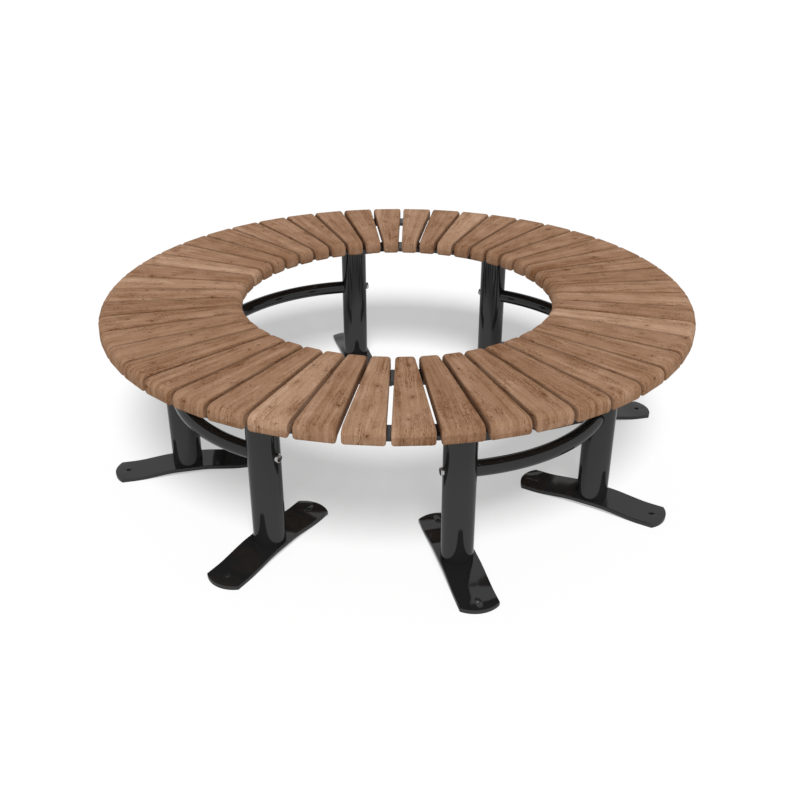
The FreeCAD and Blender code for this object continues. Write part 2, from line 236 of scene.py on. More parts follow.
def slat_section(x):
    """The rounded rectangle of a slat at a distance from the axis of the ring."""
    distance = min(x - SEAT_INNER, SEAT_OUTER - x)
    half = slat_half_width(x) - arc_drop(CORNER_ROUND, distance)
    low = SEAT_LOW + arc_drop(LOWER_ROUND, distance)
    high = SEAT_HIGH - arc_drop(END_ROUND, distance)
    share = smooth_step(0, 2 * END_ROUND, distance)
    upper = min(EDGE_ROUND[0] + (EDGE_ROUND[1] - EDGE_ROUND[0]) * share, (high - low) / 2)
    lower = min(LOWER_EDGE[0] + (LOWER_EDGE[1] - LOWER_EDGE[0]) * share, (high - low) / 2)
    points = []
    for radius, side, height, first in (
        (upper, 1, high - upper, 0), (upper, -1, high - upper, 90),
        (lower, -1, low + lower, 180), (lower, 1, low + lower, 270),
    ):
        for step in range(CORNER_STEPS + 1):
            angle = math.radians(first + 90 * step / CORNER_STEPS)
            points.append((side * (half - radius) + radius * math.cos(angle),
                           height + radius * math.sin(angle)))
    return points


def slat_stations():
    """Places along a slat as (x, lowest z), with two at each side wall of a housing."""
    turns = [math.radians(90 * step / ROUND_STEPS) for step in range(ROUND_STEPS + 1)]
    ends = [END_ROUND * (1 - math.cos(turn)) for turn in turns]
    half = math.radians(PITCH / 2)
    stations = [(SEAT_INNER + distance, SEAT_LOW) for distance in ends]
    for near, far in (INNER_RAIL, OUTER_RAIL):
        inside = min(near, far) * math.cos(half) - HOUSING_CLEARANCE
        outside = max(near, far) + HOUSING_CLEARANCE
        stations += [(inside, SEAT_LOW), (inside, RAIL_TOP), (outside, RAIL_TOP), (outside, SEAT_LOW)]
    stations += [(SEAT_OUTER - distance, SEAT_LOW) for distance in reversed(ends)]
    return stations


def grain_place(point):
    """Where a point lies on its slat's veneer: along, across, and its share of the painted light near the top
    of a side wall.
    """
    distance = min(point.x - SEAT_INNER, SEAT_OUTER - point.x)
    outwards = 1 if SEAT_OUTER - point.x < point.x - SEAT_INNER else -1
    drop = SEAT_HIGH - point.z
    over_end = 1 - smooth_step(0, END_ROUND, distance)
    half = slat_half_width(point.x)
    over_side = smooth_step(half - EDGE_ROUND[1], half, abs(point.y)) * (1 - over_end)
    side = 1 if point.y > 0 else -1
    side_light_share = over_side * (1 - smooth_step(EDGE_ROUND[1], SIDE_DEPTH, drop))
    return point.x + outwards * over_end * drop, point.y + side * over_side * drop, side_light_share


def make_slat(number, material):
    """One slat with rounded ends and edges, housed over both rails."""
    build = bmesh.new()
    rings = []
    for x, lowest in slat_stations():
        rings.append([build.verts.new((x, y, max(z, lowest))) for y, z in slat_section(x)])
    for ring, following in zip(rings, rings[1:]):
        for index in range(len(ring)):
            after = (index + 1) % len(ring)
            build.faces.new((ring[index], ring[after], following[after], following[index]))
    build.faces.new(rings[0])
    build.faces.new(list(reversed(rings[-1])))
    name = "slat_{:02d}".format(number + 1)
    mesh = to_mesh(build, name)
    chance = random.Random(SLAT_SEED + number)
    place = number % SLATS_IN_QUARTER
    tone = SLAT_TONES.get(place, 1) * (1 + chance.uniform(-TONE_SPREAD, TONE_SPREAD))
    board = number + chance.uniform(0, 1)
    slope = chance.uniform(-GRAIN_SLOPE, GRAIN_SLOPE)
    mesh.attributes.new("grain", "FLOAT_VECTOR", "POINT")
    mesh.attributes.new("tone", "FLOAT", "POINT")
    for index, vertex in enumerate(mesh.vertices):
        along, across, side_light_share = grain_place(vertex.co / MM)
        across += slope * (along - SEAT_INNER)
        # The tone holds the slat's own tone, painted light near the tops of its side walls and towards its
        # outer end, and painted shade towards its inner end.
        outward_painted_light = OUTWARD_PAINTED_LIGHT * (vertex.co.x / MM - (SEAT_INNER + SEAT_OUTER) / 2)
        mesh.attributes["grain"].data[index].vector = (along * MM, across * MM, board)
        mesh.attributes["tone"].data[index].value = tone * (1 + outward_painted_light) * (1 + (SIDE_PAINTED_LIGHT - 1) * side_light_share)
    piece = new_piece(name, mesh, material)
    piece.rotation_euler.z = math.radians(PITCH * (number + 0.5))
    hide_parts("slats_{:02d}".format(number // SLATS_IN_NODE + 1))
    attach(piece, "root")


# Steel frame


def lathe(build, profile, sides):
    """Turns a closed profile of (radius, height) pairs about the Z axis."""
    rings = []
    for side in range(sides):
        angle = 2 * math.pi * side / sides
        rings.append([build.verts.new((r * math.cos(angle), r * math.sin(angle), z)) for r, z in profile])
    for side in range(sides):
        ring = rings[side]
        following = rings[(side + 1) % sides]
        for index in range(len(profile)):
            after = (index + 1) % len(profile)
            build.faces.new((ring[index], following[index], following[after], ring[after]))


def make_post(number, material):
    """One round tube between a foot plate and a support arm."""
    build = bmesh.new()
    inside = POST_RADIUS - POST_WALL
    lathe(build, [(POST_RADIUS, POST_LOW), (POST_RADIUS, POST_HIGH), (inside, POST_HIGH), (inside, POST_LOW)],
          POST_SIDES)
    name = "post_{}".format(number + 1)
    piece = new_piece(name, to_mesh(build, name), material)
    piece.matrix_world = post_place(number)
    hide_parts("posts")
    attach(piece, "root")


def crank_height(x):
    """How far the foot plate stands off the ground at a distance from its post."""
    slope = FOOT_RISE / (FOOT_LANDING - FOOT_FLAT)
    tangent = FOOT_BEND_RADIUS * math.tan(math.atan(slope) / 2)
    reach = abs(x)
    if reach <= FOOT_FLAT - tangent:
        return FOOT_RISE
    if reach <= FOOT_FLAT + tangent:
        return FOOT_RISE - slope * (reach - FOOT_FLAT + tangent) ** 2 / (4 * tangent)
    if reach <= FOOT_LANDING - tangent:
        return slope * (FOOT_LANDING - reach)
    if reach <= FOOT_LANDING + tangent:
        return slope * (FOOT_LANDING + tangent - reach) ** 2 / (4 * tangent)
    return 0


def foot_outline():
    """The plan of a foot plate, a bar with two curved ends."""
    points = []
    half_angle = math.asin(FOOT_HALF_WIDTH / FOOT_END_RADIUS)
    centre = FOOT_HALF_LENGTH - FOOT_END_RADIUS * math.cos(half_angle)
    for side in (1, -1):
        for step in range(FOOT_END_STEPS + 1):
            angle = half_angle * (2 * step / FOOT_END_STEPS - 1)
            points.append((side * (centre + FOOT_END_RADIUS * math.cos(angle)),
                           side * FOOT_END_RADIUS * math.sin(angle)))
    return points


def flat_plate(name, outlines, thickness, edge):
    """A flat plate with holes and rounded edges, from closed outlines in mm, lying on z = 0."""
    curve = bpy.data.curves.new(name, "CURVE")
    curve.dimensions = "2D"
    curve.fill_mode = "BOTH"
    curve.extrude = thickness / 2 - edge
    curve.bevel_depth = edge
    curve.bevel_resolution = FOOT_EDGE_STEPS
    curve.offset = -edge
    for outline in outlines:
        spline = curve.splines.new("POLY")
        spline.points.add(len(outline) - 1)
        for point, (x, y) in zip(spline.points, outline):
            point.co = (x, y, 0, 1)
        spline.use_cyclic_u = True
    holder = bpy.data.objects.new(name, curve)
    bpy.context.scene.collection.objects.link(holder)
    graph = bpy.context.evaluated_depsgraph_get()
    mesh = bpy.data.meshes.new_from_object(holder.evaluated_get(graph))
    bpy.data.objects.remove(holder)
    build = bmesh.new()
    build.from_mesh(mesh)
    bmesh.ops.translate(build, vec=(0, 0, thickness / 2), verts=build.verts)
    return build


def anchor_hole(side):
    """The outline of the anchor hole at one end of a foot plate, outer (1) or inner (-1)."""
    points = []
    for step in range(ANCHOR_HOLE_SIDES):
        turn = 2 * math.pi * step / ANCHOR_HOLE_SIDES
        points.append((side * ANCHOR_HOLE_OFFSET + ANCHOR_HOLE_RADIUS * math.cos(turn),
                       ANCHOR_HOLE_RADIUS * math.sin(turn)))
    return points


def make_foot_plate(number, material):
    """A flat bar with curved ends and two anchor holes, cranked up under its post."""
    name = "foot_plate_{}".format(number + 1)
    outlines = [foot_outline(), anchor_hole(1), anchor_hole(-1)]
    build = flat_plate(name, outlines, FOOT_THICKNESS, FOOT_EDGE)
    bmesh.ops.remove_doubles(build, verts=build.verts, dist=PLATE_MERGE_DISTANCE)
    slope = math.atan(FOOT_RISE / (FOOT_LANDING - FOOT_FLAT))
    tangent = FOOT_BEND_RADIUS * math.tan(slope / 2)
    for bend in (FOOT_FLAT, FOOT_LANDING):
        for step in range(FOOT_BEND_STEPS + 1):
            for side in (1, -1):
                place = side * (bend + tangent * (2 * step / FOOT_BEND_STEPS - 1))
                bmesh.ops.bisect_plane(build, geom=build.verts[:] + build.edges[:] + build.faces[:],
                                       plane_co=(place, 0, 0), plane_no=(1, 0, 0))
    for vertex in build.verts:
        vertex.co.z += crank_height(vertex.co.x)
    piece = new_piece(name, to_mesh(build, name, SHARP_ANGLE_BENT), material)
    piece.matrix_world = post_place(number)
    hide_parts("foot_plates")
    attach(piece, "root")


def brace_angle(radius, centre):
    """Where a circle about (centre, 0) meets the surface of a post, as an angle in radians."""
    reach = POST_RADIUS + COPE_GAP
    away = math.hypot(POST_X - centre, POST_Y)
    towards = math.atan2(POST_Y, POST_X - centre)
    cosine = (radius ** 2 + away ** 2 - reach ** 2) / (2 * radius * away)
    return towards - math.acos(max(-1, min(1, cosine)))


def make_brace(number, material):
    """A tube bent to one arc between the two posts of a quarter, its ends shaped to the posts."""
    centre = POST_X - math.sqrt(BRACE_BEND ** 2 - POST_Y ** 2)
    build = bmesh.new()
    lines = []
    for side in range(BRACE_SIDES):
        turn = 2 * math.pi * side / BRACE_SIDES
        radius = BRACE_BEND + BRACE_RADIUS * math.cos(turn)
        z = BRACE_HEIGHT + BRACE_RADIUS * math.sin(turn)
        last = brace_angle(radius, centre)
        line = []
        for step in range(BRACE_STEPS + 1):
            angle = last * (2 * step / BRACE_STEPS - 1)
            line.append(build.verts.new((centre + radius * math.cos(angle), radius * math.sin(angle), z)))
        lines.append(line)
    for side in range(BRACE_SIDES):
        line = lines[side]
        following = lines[(side + 1) % BRACE_SIDES]
        for step in range(BRACE_STEPS):
            build.faces.new((line[step], line[step + 1], following[step + 1], following[step]))
    for end in (0, -1):
        rim = [line[end] for line in lines]
        middle = build.verts.new(sum((vertex.co for vertex in rim), Vector()) / BRACE_SIDES)
        for index in range(BRACE_SIDES):
            build.faces.new((rim[index], rim[(index + 1) % BRACE_SIDES], middle))
    name = "brace_{}".format(number + 1)
    piece = new_piece(name, to_mesh(build, name, SHARP_ANGLE_BENT), material)
    piece.matrix_world = quarter_place(number)
    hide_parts("brace_tube_{}".format(number + 1))
    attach(piece, "root")


def dome_profile():
    """The outside of a screw head as (radius, height) pairs: a short straight edge and a round rim."""
    flat = SCREW_HEAD_RADIUS - SCREW_RIM
    pairs = [(SCREW_HEAD_RADIUS, 0), (SCREW_HEAD_RADIUS, SCREW_EDGE_HEIGHT)]
    for step in range(1, SCREW_DOME_STEPS + 1):
        angle = math.radians(90 * step / SCREW_DOME_STEPS)
        pairs.append((flat + SCREW_RIM * math.cos(angle),
                      SCREW_EDGE_HEIGHT + (SCREW_HEAD_HEIGHT - SCREW_EDGE_HEIGHT) * math.sin(angle)))
    return pairs


def hexagon_radius(angle):
    """Distance from the middle of a screw head to a side of its socket in a direction."""
    return SCREW_SOCKET / 2 / math.cos((angle + math.pi / 6) % (math.pi / 3) - math.pi / 6)


def screw_head_mesh(name):
    """A low round head with a wide hexagon socket, its seat at z = 0."""
    build = bmesh.new()
    turns = [2 * math.pi * step / SCREW_SIDES for step in range(SCREW_SIDES)]
    loops = [[(radius, height)] * SCREW_SIDES for radius, height in dome_profile()]
    for depth in (SCREW_SOCKET_TOP, SCREW_SOCKET_FLOOR):
        loops.append([(hexagon_radius(turn), SCREW_HEAD_HEIGHT - depth) for turn in turns])
    placed = []
    for loop in loops:
        placed.append([build.verts.new((radius * math.cos(turn), radius * math.sin(turn), height))
                       for turn, (radius, height) in zip(turns, loop)])
    for loop, following in zip(placed, placed[1:]):
        for index in range(SCREW_SIDES):
            after = (index + 1) % SCREW_SIDES
            build.faces.new((loop[index], loop[after], following[after], following[index]))
    build.faces.new(list(reversed(placed[0])))
    build.faces.new(placed[-1])
    return to_mesh(build, name, SHARP_ANGLE_SCREW)


def make_brace_screw(number, material):
    """A button-head screw on the side of a post away from its brace."""
    name = "brace_screw_{}".format(number + 1)
    side = 1 if number % 2 else -1
    head = new_piece(name, screw_head_mesh(name), material)
    middle = Vector((POST_X, side * POST_Y, 0))
    tangent = Vector((-math.sin(POST_TURN), side * math.cos(POST_TURN), 0))
    place = (middle + tangent * (POST_RADIUS + SCREW_SEAT_GAP) + Vector((0, 0, BRACE_HEIGHT))) * MM
    facing = tangent.to_track_quat("Z", "Y").to_matrix().to_4x4()
    head.matrix_world = quarter_place(number // 2) @ Matrix.Translation(place) @ facing
    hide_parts("brace_screws")
    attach(head, "root")


def dress_node(name, material):
    """Gives a CAD node its finish and softens its sheared edges."""
    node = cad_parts[name]
    node.data.materials.clear()
    node.data.materials.append(material)
    edge = node.modifiers.new("edge", "BEVEL")
    edge.width = FRAME_EDGE * MM
    edge.segments = FRAME_EDGE_STEPS
    edge.limit_method = "ANGLE"
    edge.angle_limit = math.radians(SHARP_ANGLE)


# Materials

# Lengths in the materials are in metres, as a shader takes them.

# Noise over the wood, as features per metre along and across the grain, shift, detail and roughness.
# The first group runs straight along a board, and the second follows its wandering grain round knots.
STRAIGHT_NOISE = {
    "clouds": (15, 22, 71.0, 3.0, 0.6),
    "figure": (13, 28, 51.0, 3.0, 0.6),
    "wander": (4, 9, 3.0, 1.0, 0.5),
}
WAVY_NOISE = {
    "bands": (1.4, 62, 11.0, 2.0, 0.55),
    "lines": (10, 300, 23.0, 4.0, 0.65),
    "ticks": (130, 330, 91.0, 2.0, 0.6),
    "pores": (170, 460, 37.0, 1.0, 0.5),
}
BOARD_SHIFT = 7.3
WANDER = 0.008

# How far each noise takes the shade of the wood up or down, and where it changes from colour to colour.
SHADE_SHARES = {"bands": 2.9, "lines": 2.3, "clouds": 2.0, "ticks": 1.6}
SHADE_MIDDLE = 0.62
LOW_TO_MIDDLE = (-0.80, 0.70)
MIDDLE_TO_HIGH = (0.55, 1.70)
WOOD_LOW = (0.184, 0.085, 0.037, 1)
WOOD_MIDDLE = (0.331, 0.190, 0.114, 1)
WOOD_HIGH = (0.438, 0.270, 0.176, 1)
TONE_POWERS = (1.0, 1.25, 1.5)

# Patches of dark pores and of stained grain.
PATCH_RANGE = (0.46, 0.66)
PORE_RANGE = (0.55, 0.66)
PORE_EVERYWHERE = 0.1
PORE_SHARE = 0.78
PORE_COLOUR = (0.092, 0.030, 0.010, 1)
STAIN_RANGE = (0.56, 0.42)
STAIN_SHARE = 0.42
STAIN_COLOUR = (0.142, 0.054, 0.020, 1)

# Knots and pin knots: cells per metre, smallest size, spread of sizes and share of cells without one.
KNOTS = {"cells": 10.0, "smallest": 0.0018, "spread": 0.0040, "missing": 0.2}
PINS = {"cells": 27.0, "smallest": 0.0007, "spread": 0.0012, "missing": 0.5}
KNOT_SHIFT = (3.71, 1.93)
KNOT_REACH = 0.017
KNOT_LENGTH = 1.6
GRAIN_BEND = -0.6

# Each dark spot: how much longer than wide, how many sizes it reaches, its share and its colour.
HALO = (KNOT_LENGTH, 2.6, 0.40, (0.136, 0.052, 0.018, 1))
HEART = (0.7, 1.2, 0.70, (0.094, 0.032, 0.012, 1))
PIN = (1.5, 1.6, 0.6, (0.098, 0.034, 0.012, 1))
SPOT_FULL = 0.4
RAGGED = (3.0, -0.5)

# The end grain: where its tone changes below the rounding of an end, and a dark line of painted shade along
# its foot.
END_LEAST_START = 0.014
END_START_SPREAD = 0.012
END_BLUR = 0.0008
END_USUAL_CHANCE = 0.72
END_TONE_SPREAD = 0.26
HEM_SHADE_RANGE = (0.0315, 0.0350)
HEM_SHADE_TONE = -0.30

# Each roughness is a share of a noise and the least value.
WOOD_IOR = 1.04
WOOD_ROUGHNESS = (0.2, 0.52)
WOOD_RELIEF = (0.57, 0.68)
PORE_DEPTH = -0.4
LINE_HEIGHT = 0.6
WOOD_BUMP = {"Strength": 0.35, "Distance": 0.0006}

# Noise over the paint and the stainless steel, as features per metre and detail.
PAINT_CLOUDS = (9.0, 3.0)
PAINT_PEEL = (420.0, 1.0)
STEEL_TURNING = (900.0, 2.0)

PAINT_COLOURS = ((0.0425, 0.0425, 0.0426, 1), (0.0465, 0.0463, 0.0462, 1))
PAINT_ROUGHNESS = (0.05, 0.045)
PAINT_METALLIC = 0.65
PAINT_TINT = (0.60, 0.60, 0.60, 1)
PAINT_IOR = 1.30
PAINT_BUMP = {"Strength": 0.05, "Distance": 0.0001}

STEEL_COLOURS = ((0.36, 0.36, 0.365, 1), (0.43, 0.43, 0.43, 1))
STEEL_ROUGHNESS = (0.12, 0.16)


def add_node(tree, kind, inputs=None, **settings):
    """Adds a shader node; inputs map a socket's name or number to a value or to another socket."""
    made = tree.nodes.new(kind)
    for key, value in settings.items():
        setattr(made, key, value)
    for key, value in (inputs or {}).items():
        if isinstance(value, bpy.types.NodeSocket):
            tree.links.new(value, made.inputs[key])
        else:
            made.inputs[key].default_value = value
    return made


def maths(tree, operation, first, second=0.0, third=0.0):
    """One step of arithmetic, as the socket that holds its result."""
    return add_node(tree, "ShaderNodeMath", {0: first, 1: second, 2: third}, operation=operation).outputs[0]


def ramp(tree, value, low, high):
    """0 where a value is at low, 1 where it is at high, and smooth between them."""
    made = add_node(tree, "ShaderNodeMapRange", {"Value": value, "From Min": low, "From Max": high},
                    interpolation_type="SMOOTHSTEP")
    return made.outputs["Result"]


def blend(tree, share, first, second):
    """A mix of two colours."""
    made = add_node(tree, "ShaderNodeMix", data_type="RGBA")
    for socket, value in ((0, share), (6, first), (7, second)):
        if isinstance(value, bpy.types.NodeSocket):
            tree.links.new(value, made.inputs[socket])
        else:
            made.inputs[socket].default_value = value
    return made.outputs[2]


def stretched(tree, along, across, board, lengthwise, crosswise, shift, detail, roughness):
    """Noise drawn out along the grain, with this many features per metre each way."""
    place = add_node(tree, "ShaderNodeCombineXYZ", {
        "X": maths(tree, "MULTIPLY", along, lengthwise),
        "Y": maths(tree, "MULTIPLY", across, crosswise),
        "Z": maths(tree, "MULTIPLY_ADD", board, BOARD_SHIFT, shift),
    })
    made = add_node(tree, "ShaderNodeTexNoise", {
        "Vector": place.outputs[0], "Scale": 1.0, "Detail": detail, "Roughness": roughness,
    })
    return made.outputs["Fac"]


def new_material(name):
    """An empty material with its shader and output."""
    material = bpy.data.materials.new(name)
    material.use_nodes = True
    tree = material.node_tree
    tree.nodes.clear()
    shader = tree.nodes.new("ShaderNodeBsdfPrincipled")
    output = tree.nodes.new("ShaderNodeOutputMaterial")
    tree.links.new(shader.outputs[0], output.inputs["Surface"])
    return material, tree, shader


def knot_field(tree, along, across, board, cells, smallest, spread, missing):
    """Knots scattered over the boards, as (away along, away across, size, present)."""
    spot = add_node(tree, "ShaderNodeCombineXYZ", {
        "X": maths(tree, "MULTIPLY_ADD", board, KNOT_SHIFT[0], along),
        "Y": maths(tree, "MULTIPLY_ADD", board, KNOT_SHIFT[1], across),
    })
    voronoi = add_node(tree, "ShaderNodeTexVoronoi", {"Vector": spot.outputs[0], "Scale": cells},
                       voronoi_dimensions="2D", feature="F1")
    offset = add_node(tree, "ShaderNodeVectorMath", {0: spot.outputs[0], 1: voronoi.outputs["Position"]},
                      operation="SUBTRACT")
    away = add_node(tree, "ShaderNodeSeparateXYZ", {0: offset.outputs[0]}).outputs
    picked = add_node(tree, "ShaderNodeSeparateColor", {0: voronoi.outputs["Color"]}).outputs
    size = maths(tree, "MULTIPLY_ADD", maths(tree, "POWER", picked[1], 2.0), spread, smallest)
    present = maths(tree, "GREATER_THAN", picked[0], missing)
    return away[0], away[1], size, present


def oval(tree, along, across, longer):
    """Distance from a knot's middle in a shape that is drawn out along the grain."""
    square = maths(tree, "POWER", maths(tree, "DIVIDE", along, longer), 2.0)
    return maths(tree, "SQRT", maths(tree, "MULTIPLY_ADD", across, across, square))


def end_tones_and_shade(tree, along, board):
    """The change of tone below the rounding of an end, and a painted shade: a dark line along its lower edge.
    """
    outside = maths(tree, "SUBTRACT", along, SEAT_OUTER * MM)
    inside = maths(tree, "SUBTRACT", SEAT_INNER * MM, along)
    past_end = maths(tree, "MAXIMUM", outside, inside)
    noise = add_node(tree, "ShaderNodeTexWhiteNoise", {"W": board}, noise_dimensions="1D")
    chance = add_node(tree, "ShaderNodeSeparateColor", {0: noise.outputs["Color"]}).outputs
    start = maths(tree, "MULTIPLY_ADD", chance[0], END_START_SPREAD, END_LEAST_START)
    lower = ramp(tree, maths(tree, "SUBTRACT", past_end, start), 0.0, END_BLUR)
    lower = maths(tree, "MULTIPLY", lower, maths(tree, "SUBTRACT", chance[1], END_USUAL_CHANCE))
    # Painted shade: a dark line along the lower edge of each end.
    hem_shade = ramp(tree, past_end, *HEM_SHADE_RANGE)
    tone = maths(tree, "MULTIPLY_ADD", lower, END_TONE_SPREAD, 1.0)
    return maths(tree, "MULTIPLY_ADD", hem_shade, HEM_SHADE_TONE, tone)


def toned_colour(tree, colour, tone):
    """A wood colour at another tone; the paler the board, the less brown it is."""
    shares = [maths(tree, "POWER", tone, power) for power in TONE_POWERS]
    scale = add_node(tree, "ShaderNodeCombineXYZ", {0: shares[0], 1: shares[1], 2: shares[2]})
    made = add_node(tree, "ShaderNodeVectorMath", {0: colour, 1: scale.outputs[0]}, operation="MULTIPLY")
    return made.outputs[0]


def wood_noises(tree, along, across, board, knots):
    """Every noise of the wood by name, with the grain led round the knots."""
    noises = {name: stretched(tree, along, across, board, *values) for name, values in STRAIGHT_NOISE.items()}
    knot_along, knot_across, _, present = knots
    near = ramp(tree, oval(tree, knot_along, knot_across, KNOT_LENGTH), KNOT_REACH, 0.0)
    near = maths(tree, "MULTIPLY", near, present)
    bent = maths(tree, "MULTIPLY", maths(tree, "MULTIPLY", knot_across, near), GRAIN_BEND)
    wavy = maths(tree, "MULTIPLY_ADD", noises["wander"], WANDER, maths(tree, "ADD", across, bent))
    noises.update({name: stretched(tree, along, wavy, board, *values) for name, values in WAVY_NOISE.items()})
    return noises


def bare_wood(tree, noises, tone):
    """The wood from its dark to its pale bands, before pores and knots."""
    shade = 0.0
    for name, share in SHADE_SHARES.items():
        shade = maths(tree, "MULTIPLY_ADD", maths(tree, "SUBTRACT", noises[name], 0.5), share, shade)
    level = maths(tree, "ADD", shade, SHADE_MIDDLE)
    lower = blend(tree, ramp(tree, level, *LOW_TO_MIDDLE), WOOD_LOW, WOOD_MIDDLE)
    body = blend(tree, ramp(tree, level, *MIDDLE_TO_HIGH), lower, WOOD_HIGH)
    return toned_colour(tree, body, tone)


def porous(tree, noises, colour):
    """A wood colour with patches of dark pores and stained grain over it."""
    patch = ramp(tree, noises["figure"], *PATCH_RANGE)
    gathered = maths(tree, "MULTIPLY_ADD", patch, 1 - PORE_EVERYWHERE, PORE_EVERYWHERE)
    pored = maths(tree, "MULTIPLY", ramp(tree, noises["pores"], *PORE_RANGE), gathered)
    colour = blend(tree, maths(tree, "MULTIPLY", pored, PORE_SHARE), colour, PORE_COLOUR)
    stained = maths(tree, "MULTIPLY", patch, ramp(tree, noises["lines"], *STAIN_RANGE))
    return blend(tree, maths(tree, "MULTIPLY", stained, STAIN_SHARE), colour, STAIN_COLOUR)


def spotted(tree, colour, knots, spot, ragged=None):
    """A wood colour with one kind of dark spot over its knots, with an even or a ragged edge."""
    along, across, size, present = knots
    longer, reach, share, spot_colour = spot
    away = maths(tree, "DIVIDE", oval(tree, along, across, longer), size)
    if ragged:
        away = maths(tree, "MULTIPLY", away, ragged)
    strength = maths(tree, "MULTIPLY", ramp(tree, away, reach, SPOT_FULL), present)
    return blend(tree, maths(tree, "MULTIPLY", strength, share), colour, spot_colour)


def timber_material():
    """Brown oiled hardwood: soft bands, straight fine grain, patches of dark pores and small knots."""
    material, tree, shader = new_material("timber")
    grain = add_node(tree, "ShaderNodeAttribute", attribute_name="grain")
    tone = add_node(tree, "ShaderNodeAttribute", attribute_name="tone").outputs["Fac"]
    along, across, board = add_node(tree, "ShaderNodeSeparateXYZ", {0: grain.outputs["Vector"]}).outputs
    knots = knot_field(tree, along, across, board, **KNOTS)
    pins = knot_field(tree, along, across, board, **PINS)
    noises = wood_noises(tree, along, across, board, knots)

    # The tone carries painted light on the side walls and towards the outer ends, and painted shade towards
    # the inner ends and along the foot of each end.
    colour = bare_wood(tree, noises, maths(tree, "MULTIPLY", tone, end_tones_and_shade(tree, along, board)))
    colour = porous(tree, noises, colour)
    ragged = maths(tree, "MULTIPLY_ADD", noises["ticks"], *RAGGED)
    colour = spotted(tree, colour, knots, HALO)
    colour = spotted(tree, colour, knots, HEART, ragged)
    colour = spotted(tree, colour, pins, PIN, ragged)

    tree.links.new(colour, shader.inputs["Base Color"])
    roughness = maths(tree, "MULTIPLY_ADD", noises["lines"], *WOOD_ROUGHNESS)
    tree.links.new(roughness, shader.inputs["Roughness"])
    shader.inputs["IOR"].default_value = WOOD_IOR
    raised = maths(tree, "MULTIPLY", noises["lines"], LINE_HEIGHT)
    relief = maths(tree, "MULTIPLY_ADD", ramp(tree, noises["pores"], *WOOD_RELIEF), PORE_DEPTH, raised)
    bump = add_node(tree, "ShaderNodeBump", {"Height": relief, **WOOD_BUMP})
    tree.links.new(bump.outputs[0], shader.inputs["Normal"])
    return material


def object_noise(tree, scale, detail):
    """Noise over a piece's own coordinates, with this many features per metre."""
    place = add_node(tree, "ShaderNodeTexCoord").outputs["Object"]
    made = add_node(tree, "ShaderNodeTexNoise", {"Vector": place, "Scale": scale, "Detail": detail})
    return made.outputs["Fac"]


def paint_material():
    """Smooth near-black coat with fine dark metal flake, which mirrors evenly from every side."""
    material, tree, shader = new_material("black_paint")
    cloud = object_noise(tree, *PAINT_CLOUDS)
    peel = object_noise(tree, *PAINT_PEEL)
    tree.links.new(blend(tree, cloud, *PAINT_COLOURS), shader.inputs["Base Color"])
    tree.links.new(maths(tree, "MULTIPLY_ADD", cloud, *PAINT_ROUGHNESS), shader.inputs["Roughness"])
    shader.inputs["Metallic"].default_value = PAINT_METALLIC
    shader.inputs["Specular Tint"].default_value = PAINT_TINT
    shader.inputs["IOR"].default_value = PAINT_IOR
    bump = add_node(tree, "ShaderNodeBump", {"Height": peel, **PAINT_BUMP})
    tree.links.new(bump.outputs[0], shader.inputs["Normal"])
    return material


def stainless_material():
    """Bright turned stainless steel."""
    material, tree, shader = new_material("stainless_steel")
    turning = object_noise(tree, *STEEL_TURNING)
    tree.links.new(blend(tree, turning, *STEEL_COLOURS), shader.inputs["Base Color"])
    shader.inputs["Metallic"].default_value = 1.0
    tree.links.new(maths(tree, "MULTIPLY_ADD", turning, *STEEL_ROUGHNESS), shader.inputs["Roughness"])
    return material


# Stage, light and camera

# Angles are in degrees, and levels are shares of white.
KEY_ELEVATION = 51.0
KEY_BEARING = 282.8
KEY_SOFTNESS = 20.0
KEY_LEVEL = 0.32
SKY_LEVEL = 0.68

# The floor: its level in the shadow, how much of its glow reaches the bench, how much light it throws
# back, the share of the sky that lights it in the shadow, and half of its side in metres.
SHADOW_LEVEL = 0.522
FLOOR_BOUNCE = 0.70
FLOOR_ALBEDO = 0.12
FLOOR_SKY_SHARE = 0.8
FLOOR_HALF_SIZE = 30


def seen_share(tree):
    """1 where something is seen or mirrored, and 0 where it only lights the bench."""
    path = add_node(tree, "ShaderNodeLightPath").outputs
    mirrored = maths(tree, "MAXIMUM", path["Is Glossy Ray"], path["Is Transmission Ray"])
    return maths(tree, "MAXIMUM", path["Is Camera Ray"], mirrored)


def make_floor():
    """A white floor that keeps a plain shadow of the bench and lights it from below."""
    build = bmesh.new()
    bmesh.ops.create_grid(build, x_segments=1, y_segments=1, size=FLOOR_HALF_SIZE)
    mesh = bpy.data.meshes.new("floor")
    build.to_mesh(mesh)
    build.free()
    floor = bpy.data.objects.new("floor", mesh)
    bpy.context.scene.collection.objects.link(floor)
    material = bpy.data.materials.new("floor")
    material.use_nodes = True
    tree = material.node_tree
    tree.nodes.clear()
    share = maths(tree, "MULTIPLY_ADD", seen_share(tree), 1 - FLOOR_BOUNCE, FLOOR_BOUNCE)
    base = SHADOW_LEVEL - FLOOR_ALBEDO * SKY_LEVEL * FLOOR_SKY_SHARE
    glow = add_node(tree, "ShaderNodeEmission", {"Strength": maths(tree, "MULTIPLY", share, base)})
    grey = maths(tree, "MULTIPLY", share, FLOOR_ALBEDO)
    colour = add_node(tree, "ShaderNodeCombineColor", {0: grey, 1: grey, 2: grey})
    matt = add_node(tree, "ShaderNodeBsdfDiffuse", {"Color": colour.outputs[0]})
    both = add_node(tree, "ShaderNodeAddShader", {0: glow.outputs[0], 1: matt.outputs[0]})
    add_node(tree, "ShaderNodeOutputMaterial", {"Surface": both.outputs[0]})
    mesh.materials.append(material)
    return floor


